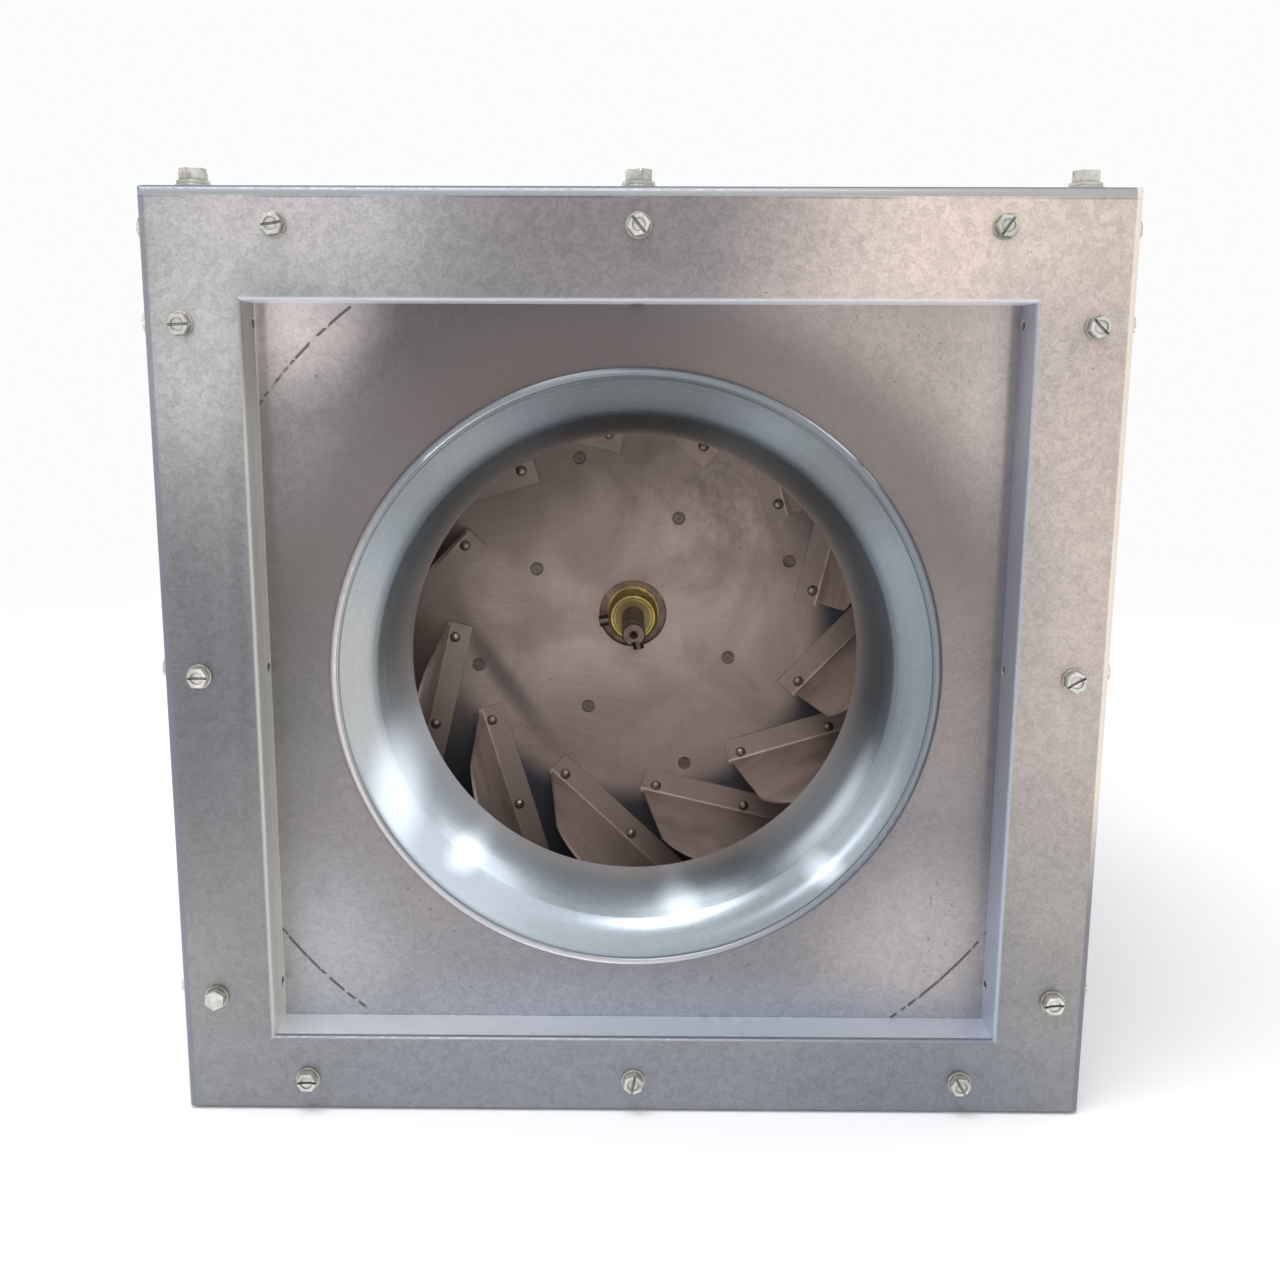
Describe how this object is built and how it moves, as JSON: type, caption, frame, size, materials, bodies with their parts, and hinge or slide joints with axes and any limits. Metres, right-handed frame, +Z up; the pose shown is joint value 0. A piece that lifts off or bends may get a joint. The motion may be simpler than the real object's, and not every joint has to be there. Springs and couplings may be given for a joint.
{
  "type": "inline duct fan",
  "caption": "Square sheet-metal duct fan with a spun inlet cone, a riveted centrifugal impeller and a motor on cross rails behind it.",
  "frame": {"origin": "centre of the casing's flat underside", "axes": "+X to the right seen from the inlet, +Y along the airflow from inlet to outlet, +Z up"},
  "size_m": [0.4454, 0.4102, 0.4082],
  "materials": {
    "casing_zinc": "galvanised sheet, fine spangle, soft sheen",
    "cone_zinc": "spun galvanised sheet, brighter than the casing",
    "screw_zinc": "pale zinc plating",
    "wheel_aluminium": "weathered aluminium sheet, stained",
    "hub_zinc": "yellow-passivated zinc plating",
    "dark_steel": "bare steel, lightly oiled",
    "motor_paint": "grey enamel over die-cast aluminium",
    "lamination": "varnished electrical sheet",
    "copper": "enamelled copper wire",
    "rubber": "matte black rubber",
    "capacitor_can": "satin aluminium can",
    "box_grey": "pale grey die-cast box",
    "terminal_plastic": "off-white moulded plastic",
    "black_plastic": "black moulded plastic",
    "cage_steel": "pressed steel"
  },
  "bodies": {
    "casing": {"inlet_frame": "casing_zinc", "outlet_frame": "casing_zinc", "inlet_plate": "casing_zinc", "base_panel": "casing_zinc", "left_panel": "casing_zinc", "right_panel": "casing_zinc", "top_cover": "casing_zinc", "corner_posts": "casing_zinc", "front_rail": "casing_zinc", "rear_rail": "casing_zinc", "motor_foot": "casing_zinc", "capacitor_strap": "casing_zinc", "inlet_cone": "cone_zinc", "base_nuts": "screw_zinc", "front_face_screws": "screw_zinc", "rear_face_screws": "screw_zinc", "side_screws": "screw_zinc", "cover_screws": "screw_zinc", "post_rivets": "screw_zinc", "rail_bolts": "screw_zinc", "mount_bolts": "screw_zinc", "shield_bolts": "screw_zinc", "lid_screws": "screw_zinc", "bearing_outer_rings": "dark_steel", "preload_spring": "dark_steel", "motor_shell": "motor_paint", "front_shield": "motor_paint", "rear_shield": "motor_paint", "stator_core": "lamination", "stator_windings": "copper", "rubber_mounts": "rubber", "shell_grommet": "rubber", "motor_cable": "rubber", "panel_grommet": "rubber", "capacitor": "capacitor_can", "junction_box": "box_grey", "junction_lid": "box_grey", "terminal_block": "terminal_plastic", "cable_gland": "black_plastic", "gland_nut": "black_plastic"},
    "rotor": {"shaft": "dark_steel", "shaft_key": "dark_steel", "impeller_hub": "hub_zinc", "set_screws": "dark_steel", "stiffening_disc": "wheel_aluminium", "impeller_backplate": "wheel_aluminium", "impeller_blades": "wheel_aluminium", "impeller_shroud": "wheel_aluminium", "blade_rivets": "screw_zinc", "shroud_rivets": "screw_zinc", "hub_rivets": "screw_zinc", "rotor_core": "lamination", "rotor_end_rings": "capacitor_can", "bearing_inner_rings": "dark_steel"},
    "ball_cages": {"bearing_balls": "dark_steel", "bearing_cages": "cage_steel"}
  },
  "joints": [
    {"name": "rotor_spin", "type": "hinge", "parent": "casing", "child": "rotor", "pos_m": [0, -0.022, 0.195], "axis": [0, 1, 0], "continuous": true},
    {"name": "cage_orbit", "type": "hinge", "parent": "casing", "child": "ball_cages", "pos_m": [0, 0.029, 0.195], "axis": [0, 1, 0], "continuous": true}
  ],
  "couplings": [
    {"joint": "cage_orbit", "follows": "rotor_spin", "ratio": 0.3636}
  ]
}
